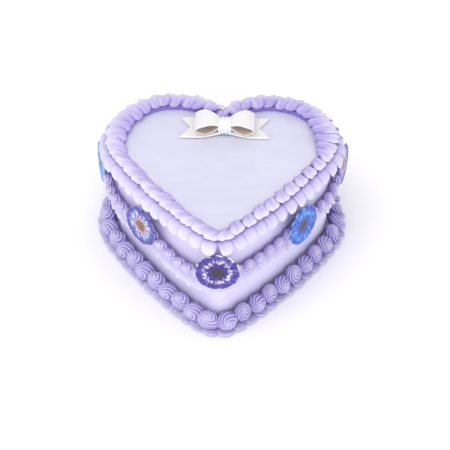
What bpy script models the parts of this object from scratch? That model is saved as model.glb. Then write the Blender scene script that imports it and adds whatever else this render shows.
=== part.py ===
"""Heart-shaped layer cake, iced smooth and piped with buttercream.

A tall heart carries a double ruffle round its top edge, swags of small
shells over a hanging ruffle on its wall, and reverse shells over a flat
ruffle round its foot. Printed flower discs cover the points where the
swags meet, and a white fondant bow lies on the top by the cleft.

Lengths are in millimetres until a mesh is made. The origin is under the
middle of the whole cake, +Z is up and the heart's tip points to -Y.
"""

import math

import bpy
from mathutils import Vector

MM = 0.001

# The iced heart
LOBE_RADIUS = 53.0
LOBE_X = 42.5
LOBE_Y = 35.0
SIDE_RADIUS = 420.0
SIDES_MEET_Y = -92.5
TIP_RADIUS = 12.0
CAKE_HEIGHT = 100.0
TOP_EDGE_RADIUS = 5.0
WALL_POINTS = 36
CLEFT_BLEND = 14.0

# Space left between pieces that touch in the real cake
GAP = 0.4

# Double ruffle on the top edge: a lower tier that droops and an upper tier on it
LOWER_RAIL = 5.0
LOWER_PITCH = 12.0
LOWER_LIFT = 1.6
LOWER_THICKNESS = 1.4
LOWER_ROOT = -8.4
LOWER_BEND = -2.2
LOWER_REACH = 3.4
LOWER_DROOP = 9.5
UPPER_RAIL = 2.0
UPPER_PITCH = 11.5
UPPER_LIFT = 2.0
UPPER_REACH_NEAR = 9.0
UPPER_REACH_FAR = 14.0
UPPER_REACH_AT_CLEFT = 5.0
UPPER_NARROWS_FROM = 26.0
UPPER_ROOT_THICKNESS = 0.8
UPPER_STEP = -6.6
UPPER_SHOULDER_HEIGHT = 3.6
UPPER_CREST = -3.6
UPPER_CREST_THICKNESS = 1.6
UPPER_TIP = 0.8
UPPER_TIP_THICKNESS = 0.8

# Foot border: reverse shells over a flat ruffle
FOOT_SHELL_RAIL = 9.4
FOOT_SHELL_PITCH = 15.6
FOOT_SHELL_RADIUS = 8.4
FOOT_SHELL_CENTRE = 12.4
FOOT_SHELL_SWING = 1.4
FOOT_RUFFLE_RAIL = 10.0
FOOT_RUFFLE_PITCH = 12.0
FOOT_RUFFLE_LIFT = 1.5
FOOT_RUFFLE_INNER = 2.0
FOOT_RUFFLE_REACH = 18.5
FOOT_RUFFLE_THICKNESS = 1.4

# Swags between the discs: a rope of small shells over a hanging ruffle
DISC_PLACES = (-251.0, -168.0, -84.0, 0.0, 90.0, 170.0, 251.0)
DISC_HEIGHTS = (66.0, 65.0, 65.7, 71.7, 63.4, 65.0, 66.0)
SWAG_TOP = 65.0
# Sag of each swag, from the one after the first disc round to the one across the cleft
SWAG_DIPS = (8.0, 9.0, 11.0, 5.5, 5.5, 8.0, 5.0)
ROPE_RAIL = 6.2
ROPE_PITCH = 10.5
ROPE_RADIUS = 4.4
ROPE_SLOPE = 1.2
SWAG_RUFFLE_PITCH = 11.0
SWAG_RUFFLE_LIFT = 1.4
SWAG_RUFFLE_DROP = 20.0
SWAG_RUFFLE_FLARE = 2.4
SWAG_RUFFLE_THICKNESS = 1.2

# Printed flower discs
DISC_RADIUS = 17.5
DISC_THICKNESS = 1.2
DISC_OUT = 10.6
DISC_LOBES = 10
DISC_LOBE_DEPTH = 0.8
DISC_PRINTS = ("violet", "blue", "pale", "violet", "blue", "pale", "blue")

# Bow
BOW_X = 2.0
BOW_Y = 47.0
TAIL_LENGTH = 79.0
RIBBON_DEPTH = 24.0
RIBBON_THICKNESS = 1.8
TAIL_NOTCH = 9.5
LOOP_REACH = 25.5
LOOP_HEIGHT = 11.0
LOOP_WAIST = 13.0
LOOP_STEPS = 20
KNOT_WIDTH = 11.5
KNOT_HEIGHT = 10.0
KNOT_STEPS = 9


# The heart's outline


def side_centre():
    """Centre of the arc of the +X side, which touches the lobe and passes the point where the sides meet."""
    to_lobe = Vector((LOBE_X, LOBE_Y - SIDES_MEET_Y))
    between = SIDE_RADIUS - LOBE_RADIUS
    cosine = (SIDE_RADIUS**2 - between**2 - to_lobe.length_squared) / (2 * between * to_lobe.length)
    angle = math.atan2(to_lobe.y, to_lobe.x) + math.acos(cosine)
    return Vector((LOBE_X, LOBE_Y)) + between * Vector((math.cos(angle), math.sin(angle)))


def wall_arcs():
    """(centre, radius, first angle, last angle) of the tip, the side and the lobe, on the +X side."""
    lobe = Vector((LOBE_X, LOBE_Y))
    side = side_centre()
    tip = Vector((0.0, side.y - math.sqrt((SIDE_RADIUS - TIP_RADIUS) ** 2 - side.x**2)))
    at_tip = math.atan2(tip.y - side.y, tip.x - side.x)
    at_lobe = math.atan2(lobe.y - side.y, lobe.x - side.x)
    at_cleft = math.acos(-LOBE_X / LOBE_RADIUS)
    return (
        (tip, TIP_RADIUS, -math.pi / 2, at_tip),
        (side, SIDE_RADIUS, at_tip, at_lobe),
        (lobe, LOBE_RADIUS, at_lobe, at_cleft),
    )


def cleft_point():
    return Vector((0.0, LOBE_Y + math.sqrt(LOBE_RADIUS**2 - LOBE_X**2), 0.0))


def half_rail(offset, step=0.5):
    """Points (x, y, angle of the outward normal) along the wall moved out by offset, from tip to cleft."""
    points = []
    for centre, radius, first, last in wall_arcs():
        count = max(6, int(radius * (last - first) / step))
        for i in range(count + 1):
            angle = first + (last - first) * i / count
            reach = radius + offset
            points.append((centre.x + reach * math.cos(angle), centre.y + reach * math.sin(angle), angle))
    if offset < 0:
        corner = cleft_point()
        angle = points[-1][2]
        for i in range(1, 13):
            fan = angle + (math.pi / 2 - angle) * i / 12
            points.append((offset * math.cos(fan), corner.y + offset * math.sin(fan), fan))
    return [p for p in points if p[0] >= -1e-6]


class Rail:
    """The heart's wall moved out by offset: a closed path measured from the tip, anticlockwise.

    Near the cleft the outward direction turns to the line of symmetry, so that what stands on one lobe
    stops half way to the other.
    """

    def __init__(self, offset):
        self.offset = offset
        self.points = half_rail(offset)
        self.lengths = [0.0]
        for a, b in zip(self.points, self.points[1:]):
            self.lengths.append(self.lengths[-1] + math.hypot(b[0] - a[0], b[1] - a[1]))
        self.half = self.lengths[-1]

    def at(self, along):
        """(point, outward direction, direction of travel) at a length along the path."""
        along = (along + self.half) % (2 * self.half) - self.half
        mirror = -1.0 if along < 0 else 1.0
        target = abs(along)
        low, high = 0, len(self.lengths) - 1
        while high - low > 1:
            middle = (low + high) // 2
            if self.lengths[middle] <= target:
                low = middle
            else:
                high = middle
        gap = self.lengths[high] - self.lengths[low]
        share = (target - self.lengths[low]) / gap if gap else 0.0
        x, y, angle = (a + (b - a) * share for a, b in zip(self.points[low], self.points[high]))
        out = Vector((math.cos(angle), math.sin(angle), 0.0))
        if self.offset >= 0:
            closeness = max(0.0, 1.0 - (self.half - target) / CLEFT_BLEND)
            stretch = 1.0 / math.sin(self.points[-1][2])
            out = out.lerp(Vector((0.0, 1.0, 0.0)), closeness).normalized()
            out *= 1.0 + (stretch - 1.0) * closeness
        out.x *= mirror
        return Vector((mirror * x, y, 0.0)), out, Vector((-out.y, out.x, 0.0)).normalized()

    def places(self, pitch):
        """Even spacing round the whole path, close to pitch, with a piece on either side of tip and cleft."""
        count = 2 * round(self.half / pitch)
        return [2 * self.half * (i + 0.5) / count for i in range(count)]


# Making solids


def material(name, colour, roughness):
    made = bpy.data.materials.new(name)
    made.use_nodes = True
    shader = made.node_tree.nodes["Principled BSDF"]
    shader.inputs["Base Color"].default_value = (*colour, 1.0)
    shader.inputs["Roughness"].default_value = roughness
    return made


def add_object(name, points, faces, finish):
    mesh = bpy.data.meshes.new(name)
    mesh.from_pydata([tuple(MM * c for c in p) for p in points], [], faces)
    mesh.materials.append(finish)
    mesh.update()
    bpy.context.scene.collection.objects.link(bpy.data.objects.new(name, mesh))


def swept_ring(name, sections, finish):
    """Closed ring through sections, each a loop of points that turns from the outward side to the top."""
    size = len(sections[0])
    count = len(sections)
    faces = []
    for i in range(count):
        here, ahead = i * size, (i + 1) % count * size
        for j in range(size):
            after = (j + 1) % size
            faces.append((here + j, ahead + j, ahead + after, here + after))
    add_object(name, [point for section in sections for point in section], faces, finish)


def placed(local, origin, out, travel):
    """Local points (out, along, up) moved to a place on a rail."""
    return [origin + out * p[0] + travel * p[1] + Vector((0.0, 0.0, p[2])) for p in local]


# A petal of a ruffle: (share of its width, share of its lift, how far its edge is rounded back)
PETAL_STATIONS = ((0.02, 1.0, 2.2), (0.55, 0.5, 0.0), (0.98, 0.0, 3.6))


def ruffle(name, rail, pitch, profile_at, lift, finish):
    """Ring of petals piped one after the other, each with its start raised over the end of the last.

    profile_at gives the rows of a petal from its root to its edge, each a point of its underside and
    a point of its upper side, as (out, up, out, up).
    """
    sections = []
    starts = rail.places(pitch)
    width = starts[1] - starts[0]
    for centre in starts:
        for share, raised, back in PETAL_STATIONS:
            along = centre + (share - 0.5) * width
            spot, out, travel = rail.at(along)
            rows = profile_at(spot, along)
            length = math.dist(rows[-2][:2], rows[-1][:2])
            edge = tuple(b + (a - b) * back / length for a, b in zip(rows[-2], rows[-1]))
            under, over = [], []
            for i, (far, up, over_far, over_up) in enumerate(rows[:-1] + (edge,)):
                rise = Vector((over_far - far, over_up - up)).normalized()
                rise *= lift * raised * i / (len(rows) - 1)
                under.append((far, 0.0, up))
                over.append((over_far + rise.x, 0.0, over_up + rise.y))
            sections.append(placed(under + over[::-1], spot, out, travel))
    swept_ring(name, sections, finish)


# A piped shell: (share of its length, share of its radius)
SHELL_STATIONS = ((0.0, 0.62), (0.26, 1.0), (0.6, 0.92), (0.94, 0.5))
SMALL_SHELL_STATIONS = ((0.0, 0.7), (0.35, 1.0), (0.9, 0.55))
SHELL_TWIST = 0.9
SHELL_GROOVE = 0.86


def shell_rope(name, rail, pitch, radius, centre_at, stations, sides, finish):
    """Ring of shells that run into each other: a star of icing that swells, twists and tapers."""
    starts = rail.places(pitch)
    width = starts[1] - starts[0]
    sections = []
    for number, start in enumerate(starts):
        bend = 1.0 if number % 2 else -1.0
        for share, size in stations:
            along = start + (share - 0.5) * width
            spot, out, travel = rail.at(along)
            far, up = centre_at(along, bend, share)
            points = []
            for j in range(sides):
                angle = 2 * math.pi * j / sides + SHELL_TWIST * bend * share
                reach = radius * size * (1.0 if j % 2 else SHELL_GROOVE)
                points.append((far + reach * math.cos(angle), 0.0, up + reach * math.sin(angle)))
            sections.append(placed(points, spot, out, travel))
    swept_ring(name, sections, finish)


# The iced heart


def cake(finish):
    """Upright wall, rounded top edge and flat top."""
    rail = Rail(0.0)
    edge = TOP_EDGE_RADIUS
    bevel = edge * (1 - math.sin(math.radians(45)))
    levels = ((0.0, 0.0), (0.0, CAKE_HEIGHT - edge), (bevel, CAKE_HEIGHT - bevel), (edge, CAKE_HEIGHT))
    stations = [rail.half * i / WALL_POINTS for i in range(1 - WALL_POINTS, WALL_POINTS)]
    points = []
    for inset, height in levels:
        ring = Rail(-inset) if inset else rail
        scale = ring.half / rail.half
        ring_stations = [s * scale for s in stations] + [ring.half]
        for along in ring_stations:
            spot = ring.at(along)[0]
            points.append(spot + Vector((0.0, 0.0, height)))
    count = len(stations) + 1
    faces = [tuple(range(count - 1, -1, -1)), tuple(range(3 * count, 4 * count))]
    for level in range(len(levels) - 1):
        for i in range(count):
            a, b = level * count + i, level * count + (i + 1) % count
            faces.append((a, b, b + count, a + count))
    add_object("cake", points, faces, finish)


# The double ruffle on the top edge


def lower_profile(spot, along):
    """From under the upper tier, over the edge of the cake and down its side."""
    base = CAKE_HEIGHT + GAP
    tip = CAKE_HEIGHT - LOWER_DROOP
    return (
        (LOWER_ROOT, base, LOWER_ROOT, base + LOWER_THICKNESS),
        (LOWER_BEND, base, LOWER_BEND + GAP, base + LOWER_THICKNESS),
        (LOWER_REACH, tip, LOWER_REACH + LOWER_THICKNESS, tip + GAP),
    )


def upper_profile(spot, along):
    """From the flat top up to a crest and out above the lower tier."""
    backward = min(1.0, max(0.0, spot.y / (LOBE_Y + LOBE_RADIUS / 2)))
    inner = UPPER_REACH_NEAR + (UPPER_REACH_FAR - UPPER_REACH_NEAR) * backward
    from_cleft = (spot - cleft_point()).length
    spread = min(1.0, from_cleft / UPPER_NARROWS_FROM) ** 2
    inner = UPPER_REACH_AT_CLEFT + (inner - UPPER_REACH_AT_CLEFT) * spread
    base = CAKE_HEIGHT + GAP
    crest = base + LOWER_THICKNESS + LOWER_LIFT + GAP
    root = -UPPER_RAIL - inner
    shoulder = (root + 2 * UPPER_STEP) / 3
    return (
        (root, base, root + UPPER_ROOT_THICKNESS, base + UPPER_ROOT_THICKNESS),
        (UPPER_STEP, base, shoulder, base + UPPER_SHOULDER_HEIGHT),
        (UPPER_STEP + UPPER_ROOT_THICKNESS, crest, UPPER_CREST, crest + UPPER_CREST_THICKNESS),
        (UPPER_TIP, crest, UPPER_TIP, crest + UPPER_TIP_THICKNESS),
    )


# The foot border


def foot_profile(spot, along):
    """Tongue that lies flat on the table, from near the wall outwards."""
    root = FOOT_RUFFLE_INNER - FOOT_RUFFLE_RAIL
    tip = FOOT_RUFFLE_REACH - FOOT_RUFFLE_RAIL
    return (
        (root, 0.0, root, FOOT_RUFFLE_THICKNESS),
        (tip, 0.0, tip - GAP, FOOT_RUFFLE_THICKNESS),
    )


def foot_centre(along, bend, share):
    """Reverse shells swing up and out, then down and in, by turns."""
    swing = bend * FOOT_SHELL_SWING * math.sin(math.pi * share)
    return (0.4 * swing, FOOT_SHELL_CENTRE + swing)


# The swags


def swag_height(rail, along):
    """Height of the rope of shells: highest at each disc and lowest half way between two."""
    along = (along + rail.half) % (2 * rail.half) - rail.half
    scale = rail.half / Rail(0.0).half
    ends = [p * scale for p in DISC_PLACES]
    ends = [ends[-1] - 2 * rail.half] + ends + [ends[0] + 2 * rail.half]
    dips = (SWAG_DIPS[-1],) + SWAG_DIPS
    for a, b, dip in zip(ends, ends[1:], dips):
        if a <= along <= b:
            share = (along - a) / (b - a)
            return SWAG_TOP - dip * (1.0 - (2 * share - 1.0) ** 2)
    return SWAG_TOP


def swag_shells(finish):
    rail = Rail(ROPE_RAIL)

    def centre(along, bend, share):
        return (0.0, swag_height(rail, along) + ROPE_SLOPE * (0.5 - share))

    shell_rope("swag_shells", rail, ROPE_PITCH, ROPE_RADIUS, centre, SMALL_SHELL_STATIONS, 6, finish)


def swag_ruffle(finish):
    """Petals that hang on the wall from behind the rope of shells."""
    rail = Rail(0.0)

    def profile(spot, along):
        upper = swag_height(rail, along)
        middle = upper - SWAG_RUFFLE_DROP / 2
        lower = upper - SWAG_RUFFLE_DROP
        flare = GAP + SWAG_RUFFLE_FLARE
        return (
            (GAP, upper, 2 * GAP, upper),
            (GAP, middle, GAP + SWAG_RUFFLE_THICKNESS, middle),
            (flare, lower, flare + SWAG_RUFFLE_THICKNESS, lower + GAP),
        )

    ruffle("swag_ruffle", rail, SWAG_RUFFLE_PITCH, profile, SWAG_RUFFLE_LIFT, finish)


# The printed discs


def slab_faces(count):
    """Faces between two outlines of count points each, the back one first."""
    faces = [tuple(range(count - 1, -1, -1)), tuple(range(count, 2 * count))]
    for i in range(count):
        after = (i + 1) % count
        faces.append((i, after, count + after, count + i))
    return faces


def disc(name, along, height, finish):
    """Thin upright disc with a scalloped rim, its face along the wall's outward direction."""
    spot, out, travel = Rail(0.0).at(along)
    count = 2 * DISC_LOBES
    points = []
    for depth in (0.0, DISC_THICKNESS):
        for i in range(count):
            angle = 2 * math.pi * i / count
            radius = DISC_RADIUS - DISC_LOBE_DEPTH * (0.5 - 0.5 * math.cos(DISC_LOBES * angle))
            points.append((DISC_OUT + depth, radius * math.cos(angle), height + radius * math.sin(angle)))
    add_object(name, placed(points, spot, out, travel), slab_faces(count), finish)


# The bow


def bow_tails(finish):
    """Flat strip with a notch cut in each end."""
    half, deep = TAIL_LENGTH / 2, RIBBON_DEPTH / 2
    outline = (
        (-half, -deep),
        (half, -deep),
        (half - TAIL_NOTCH, 0.0),
        (half, deep),
        (-half, deep),
        (-half + TAIL_NOTCH, 0.0),
    )
    base = CAKE_HEIGHT + GAP
    points = [(BOW_X + x, BOW_Y + y, base) for x, y in outline]
    points += [(BOW_X + x, BOW_Y + y, base + RIBBON_THICKNESS) for x, y in outline]
    add_object("bow_tails", points, slab_faces(len(outline)), finish)


def bow_loop(name, side, finish):
    """Ribbon folded into a hollow loop, pinched narrow at the knot."""
    base = CAKE_HEIGHT + GAP + RIBBON_THICKNESS + GAP
    near = KNOT_WIDTH / 2 + GAP
    points = []
    for i in range(LOOP_STEPS):
        turn = 2 * math.pi * i / LOOP_STEPS
        swell = 0.5 - 0.5 * math.cos(turn)
        fullness = math.sin(math.pi * min(1.0, 0.12 + 0.72 * swell)) ** 0.6
        for shrink in (0.0, RIBBON_THICKNESS):
            x = near + shrink + (LOOP_REACH - near - 2 * shrink) * swell
            rise = (LOOP_HEIGHT / 2 - shrink) * fullness * math.sin(turn)
            z = base + LOOP_HEIGHT / 2 + rise
            deep = 0.5 * (LOOP_WAIST + (RIBBON_DEPTH - LOOP_WAIST) * min(1.0, 1.6 * swell))
            for front in (-1.0, 1.0):
                points.append((BOW_X + side * x, BOW_Y + front * deep, z))
    faces = []
    for i in range(LOOP_STEPS):
        a, b = 4 * i, 4 * ((i + 1) % LOOP_STEPS)
        ring = ((a, a + 1, b + 1, b), (a + 3, a + 2, b + 2, b + 3), (a + 2, a, b, b + 2), (a + 1, a + 3, b + 3, b + 1))
        faces += ring if side < 0 else [tuple(reversed(f)) for f in ring]
    add_object(name, points, faces, finish)


def bow_knot(finish):
    """Rounded band over the middle of the bow."""
    base = CAKE_HEIGHT + GAP + RIBBON_THICKNESS + GAP
    half, deep = KNOT_WIDTH / 2, LOOP_WAIST / 2 + RIBBON_THICKNESS
    points = []
    for side in (half, -half):
        for i in range(KNOT_STEPS):
            angle = math.pi * i / (KNOT_STEPS - 1)
            points.append((BOW_X + side, BOW_Y - deep * math.cos(angle), base + KNOT_HEIGHT * math.sin(angle) ** 0.7))
    add_object("bow_knot", points, slab_faces(KNOT_STEPS), finish)


def main():
    for old in list(bpy.data.objects):
        bpy.data.objects.remove(old)
    smooth = material("icing_smooth", (0.78, 0.76, 0.92), 0.45)
    piped = material("icing_piped", (0.70, 0.66, 0.88), 0.55)
    fondant = material("fondant", (0.93, 0.90, 0.87), 0.5)
    prints = {
        "violet": material("disc_violet", (0.10, 0.06, 0.45), 0.5),
        "blue": material("disc_blue", (0.12, 0.20, 0.62), 0.5),
        "pale": material("disc_pale", (0.45, 0.52, 0.82), 0.5),
    }
    cake(smooth)
    ruffle("top_ruffle_lower", Rail(LOWER_RAIL), LOWER_PITCH, lower_profile, LOWER_LIFT, piped)
    ruffle("top_ruffle_upper", Rail(UPPER_RAIL), UPPER_PITCH, upper_profile, UPPER_LIFT, piped)
    ruffle("foot_ruffle", Rail(FOOT_RUFFLE_RAIL), FOOT_RUFFLE_PITCH, foot_profile, FOOT_RUFFLE_LIFT, piped)
    foot = Rail(FOOT_SHELL_RAIL)
    shell_rope("foot_shells", foot, FOOT_SHELL_PITCH, FOOT_SHELL_RADIUS, foot_centre, SHELL_STATIONS, 8, piped)
    swag_shells(piped)
    swag_ruffle(piped)
    for number, (along, height, tint) in enumerate(zip(DISC_PLACES, DISC_HEIGHTS, DISC_PRINTS), start=1):
        disc(f"flower_disc_{number}", along, height, prints[tint])
    bow_tails(fondant)
    bow_loop("bow_loop_left", -1.0, fondant)
    bow_loop("bow_loop_right", 1.0, fondant)
    bow_knot(fondant)


main()
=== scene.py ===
import math

import bmesh
import bpy
import numpy as np
from mathutils import Matrix, Vector, noise


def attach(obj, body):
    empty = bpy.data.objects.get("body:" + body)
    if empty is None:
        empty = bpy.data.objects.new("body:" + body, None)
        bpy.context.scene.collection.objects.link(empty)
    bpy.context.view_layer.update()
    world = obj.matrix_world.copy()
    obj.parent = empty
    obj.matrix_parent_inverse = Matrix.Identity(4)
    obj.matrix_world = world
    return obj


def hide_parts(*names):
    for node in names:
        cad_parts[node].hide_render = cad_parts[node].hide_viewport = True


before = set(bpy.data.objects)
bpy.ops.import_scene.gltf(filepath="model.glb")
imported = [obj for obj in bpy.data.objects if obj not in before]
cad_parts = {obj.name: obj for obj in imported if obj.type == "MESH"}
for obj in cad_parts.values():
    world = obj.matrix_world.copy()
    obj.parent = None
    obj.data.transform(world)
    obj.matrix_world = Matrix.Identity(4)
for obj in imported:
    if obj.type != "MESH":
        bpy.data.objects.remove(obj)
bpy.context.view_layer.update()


# The cake: layers of sponge in a heart shape, masked with lavender buttercream and smoothed with a palette
# knife. The wall is upright, its top edge is slightly rounded, and faint strokes of the knife are left in
# the icing. The wall's colour is painted a little paler than the top, as painted light against its shade.

CAKE_HEIGHT = 0.100
TOP_EDGE_RADIUS = 0.005
LOBE_RADIUS = 0.053
LOBE_CENTRE = (0.0425, 0.0350)
SIDE_RADIUS = 0.420
SIDES_MEET_Y = -0.0925
TIP_RADIUS = 0.012
TOP_CENTRE = (0.0, 0.008)
CAKE_COLUMNS = 360
KNIFE_SWELL = 0.00035
KNIFE_RIPPLE = 0.00008


def heart_arcs():
    """(centre, radius, first angle, last angle) of the tip, the side and the lobe, on the +X side."""
    lobe = Vector(LOBE_CENTRE)
    to_lobe = lobe - Vector((0.0, SIDES_MEET_Y))
    between = SIDE_RADIUS - LOBE_RADIUS
    cosine = (SIDE_RADIUS**2 - between**2 - to_lobe.length_squared) / (2 * between * to_lobe.length)
    angle = math.atan2(to_lobe.y, to_lobe.x) + math.acos(cosine)
    side = lobe + between * Vector((math.cos(angle), math.sin(angle)))
    tip = Vector((0.0, side.y - math.sqrt((SIDE_RADIUS - TIP_RADIUS) ** 2 - side.x**2)))
    at_tip = math.atan2(tip.y - side.y, tip.x - side.x)
    at_lobe = math.atan2(lobe.y - side.y, lobe.x - side.x)
    at_cleft = math.acos(-lobe.x / LOBE_RADIUS)
    return (
        (tip, TIP_RADIUS, -math.pi / 2, at_tip),
        (side, SIDE_RADIUS, at_tip, at_lobe),
        (lobe, LOBE_RADIUS, at_lobe, at_cleft),
    )


class Rail:
    """The cake's wall moved out by an offset: a closed path from the tip, anticlockwise seen from above."""

    def __init__(self, offset):
        points = []
        for centre, radius, first, last in heart_arcs():
            for angle in np.linspace(first, last, max(8, int(radius * (last - first) / 0.0005))):
                reach = radius + offset
                points.append((centre.x + reach * math.cos(angle), centre.y + reach * math.sin(angle), angle))
        if offset < 0:
            cleft = LOBE_CENTRE[1] + math.sqrt(LOBE_RADIUS**2 - LOBE_CENTRE[0] ** 2)
            for angle in np.linspace(points[-1][2], math.pi / 2, 12)[1:]:
                points.append((offset * math.cos(angle), cleft + offset * math.sin(angle), angle))
        points = np.array([p for p in points if p[0] >= -1e-9])
        self.x, self.y, self.angle = points.T
        steps = np.hypot(np.diff(self.x), np.diff(self.y))
        self.lengths = np.concatenate(([0.0], np.cumsum(steps)))
        self.half = self.lengths[-1]

    def at(self, along):
        """Places (x, y) and angles of the outward normal at lengths along the path."""
        along = (np.asarray(along, float) + self.half) % (2 * self.half) - self.half
        x, y, angle = (np.interp(np.abs(along), self.lengths, v) for v in (self.x, self.y, self.angle))
        return np.where(along < 0, -x, x), y, np.where(along < 0, math.pi - angle, angle)

    def ring(self, count, height):
        x, y, _ = self.at(np.arange(count) * 2 * self.half / count)
        return np.column_stack((x, y, np.full(count, height)))


def skin(name, grid, first_pole=None, last_pole=None, round_rows=False):
    """Mesh over a grid of points whose columns close on themselves, with a point to close each end."""
    rows, columns = grid.shape[:2]
    points = [tuple(p) for p in grid.reshape(-1, 3)]
    faces = []
    for i in range(rows if round_rows else rows - 1):
        here, above = i * columns, (i + 1) % rows * columns
        for j in range(columns):
            after = (j + 1) % columns
            faces.append((here + j, here + after, above + after, above + j))
    if first_pole is not None:
        points.append(tuple(first_pole))
        faces += [((j + 1) % columns, j, len(points) - 1) for j in range(columns)]
    if last_pole is not None:
        points.append(tuple(last_pole))
        last = (rows - 1) * columns
        faces += [(last + j, last + (j + 1) % columns, len(points) - 1) for j in range(columns)]
    mesh = bpy.data.meshes.new(name)
    mesh.from_pydata(points, [], faces)
    mesh.polygons.foreach_set("use_smooth", [True] * len(faces))
    mesh.update()
    return mesh


def put_in_scene(name, mesh):
    made = bpy.data.objects.new(name, mesh)
    bpy.context.scene.collection.objects.link(made)
    return made


def iced_heart():
    """Underside, wall, rounded edge and top, as rings from the middle of the underside to that of the top."""
    centre = np.array((*TOP_CENTRE, 0.0))
    wall = Rail(0.0)
    foot = wall.ring(CAKE_COLUMNS, 0.0)
    rings = [centre + (foot - centre) * share for share in (0.1, 0.4, 0.8, 1.0)]
    upright = CAKE_HEIGHT - TOP_EDGE_RADIUS
    rings += [wall.ring(CAKE_COLUMNS, height) for height in np.linspace(0.0005, upright, 40)]
    for turn in np.linspace(0.0, math.pi / 2, 7)[1:]:
        inset = TOP_EDGE_RADIUS * (1 - math.cos(turn))
        rings.append(Rail(-inset).ring(CAKE_COLUMNS, upright + TOP_EDGE_RADIUS * math.sin(turn)))
    middle = centre + np.array((0.0, 0.0, CAKE_HEIGHT))
    rings += [middle + (rings[-1] - middle) * share for share in np.linspace(1.0, 0.02, 36)[1:]]
    grid = np.array(rings)
    for ring in grid:
        for point in ring:
            spot = Vector(point)
            swell = KNIFE_SWELL * noise.noise(spot / 0.030) + KNIFE_RIPPLE * noise.noise(spot / 0.009)
            if point[2] > upright:
                point[2] += swell
            elif point[2] > 0:
                point[:2] += swell * (point[:2] - centre[:2]) / np.linalg.norm(point[:2] - centre[:2])
    return skin("cake_icing", grid, centre, middle)


class Wire:
    """An output of a node. Arithmetic on it adds Math nodes."""

    def __init__(self, tree, socket):
        self.tree = tree
        self.socket = socket

    @classmethod
    def node(cls, tree, kind, settings=None, inputs=None, output=0):
        """Adds a node: its settings first, then the values or links of its inputs."""
        made = tree.nodes.new(kind)
        for name, value in (settings or {}).items():
            if name == "stops":
                elements = made.color_ramp.elements
                while len(elements) < len(value):
                    elements.new(1.0)
                for element, (place, colour) in zip(elements, value):
                    element.position = place
                    element.color = (*colour, 1.0)
            else:
                setattr(made, name, value)
        for key, value in (inputs or {}).items():
            if isinstance(value, Wire):
                tree.links.new(value.socket, made.inputs[key])
            else:
                made.inputs[key].default_value = value
        return cls(tree, made.outputs[output])

    def out(self, name):
        return Wire(self.tree, self.socket.node.outputs[name])

    def maths(self, operation, *values, clamp=False):
        settings = {"operation": operation, "use_clamp": clamp}
        return Wire.node(self.tree, "ShaderNodeMath", settings, dict(enumerate(values)))

    def __add__(self, other):
        return self.maths("ADD", self, other)

    def __sub__(self, other):
        return self.maths("SUBTRACT", self, other)

    def __rsub__(self, other):
        return self.maths("SUBTRACT", other, self)

    def __mul__(self, other):
        return self.maths("MULTIPLY", self, other)

    __radd__ = __add__
    __rmul__ = __mul__

    def between(self, low, high):
        """0 at low, 1 at high, smooth in between."""
        inputs = {"Value": self, "From Min": low, "From Max": high}
        return Wire.node(self.tree, "ShaderNodeMapRange", {"interpolation_type": "SMOOTHSTEP"}, inputs)

    def tint(self, first, second):
        """The first colour where this is 0 and the second where it is 1."""
        inputs = {0: self}
        for key, colour in ((6, first), (7, second)):
            inputs[key] = colour if isinstance(colour, Wire) else (*colour, 1.0)
        return Wire.node(self.tree, "ShaderNodeMix", {"data_type": "RGBA"}, inputs, 2)


def speckle(tree, place, scale, detail=2.0, stretch=(1.0, 1.0, 1.0)):
    """Noise from 0 to 1 about 0.5, at scale waves to the metre."""
    inputs = {"Vector": place, "Scale": stretch}
    moved = Wire.node(tree, "ShaderNodeMapping", {"vector_type": "POINT"}, inputs)
    return Wire.node(tree, "ShaderNodeTexNoise", None, {"Vector": moved, "Scale": scale, "Detail": detail})


def new_finish(name, **settings):
    """A Principled material with plain values set, its tree, its shader and the piece's own coordinates."""
    made = bpy.data.materials.new(name)
    made.use_nodes = True
    tree = made.node_tree
    shader = tree.nodes["Principled BSDF"]
    for key, value in settings.items():
        shader.inputs[key.replace("_", " ")].default_value = value
    place = Wire.node(tree, "ShaderNodeTexCoord", None, None, "Object")
    return made, tree, shader, place


def feed(tree, shader, colour, roughness, height, depth):
    """Joins colour, roughness and a relief of the given depth in metres to the shader."""
    relief = Wire.node(tree, "ShaderNodeBump", None, {"Height": height, "Distance": depth, "Strength": 1.0})
    for key, value in (("Base Color", colour), ("Roughness", roughness), ("Normal", relief)):
        tree.links.new(value.socket, shader.inputs[key])


CREAM = {"Subsurface_Weight": 0.15, "Subsurface_Radius": (0.9, 0.8, 1.0), "Subsurface_Scale": 0.002}


def smoothed_icing():
    finish, tree, shader, place = new_finish("icing_smooth", **CREAM)
    strokes = speckle(tree, place, 26.0, 3.0, (1.0, 2.6, 5.0))
    cloud = speckle(tree, place, 11.0)
    pores = speckle(tree, place, 900.0)
    mottle = (strokes * 0.5 + cloud * 0.5).between(0.35, 0.65)
    height = Wire.node(tree, "ShaderNodeSeparateXYZ", None, {"Vector": place}).out("Z")
    # Painted light: the wall's colour is paler than the top's, switched over by height, to lift its shade.
    top = mottle.tint((0.640, 0.628, 0.765), (0.680, 0.672, 0.795))
    wall = mottle.tint((0.715, 0.675, 0.900), (0.748, 0.712, 0.925))
    colour = height.between(CAKE_HEIGHT - TOP_EDGE_RADIUS, CAKE_HEIGHT - 0.001).tint(wall, top)
    feed(tree, shader, colour, 0.42 + 0.14 * cloud, strokes * 0.8 + pores * 0.2, 0.0004)
    return finish


def finish_piece(piece, slot, *nodes):
    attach(piece, "root")
    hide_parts(*nodes)


cake = put_in_scene("iced_heart", iced_heart())
cake.data.materials.append(smoothed_icing())
finish_piece(cake, "icing_smooth", "cake")


# Lower tier of the top ruffle: short thick tongues of buttercream, piped anticlockwise with a petal tip.
# Each starts on the end of the last and droops over the edge of the cake. On the far side they lie lower.

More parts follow.
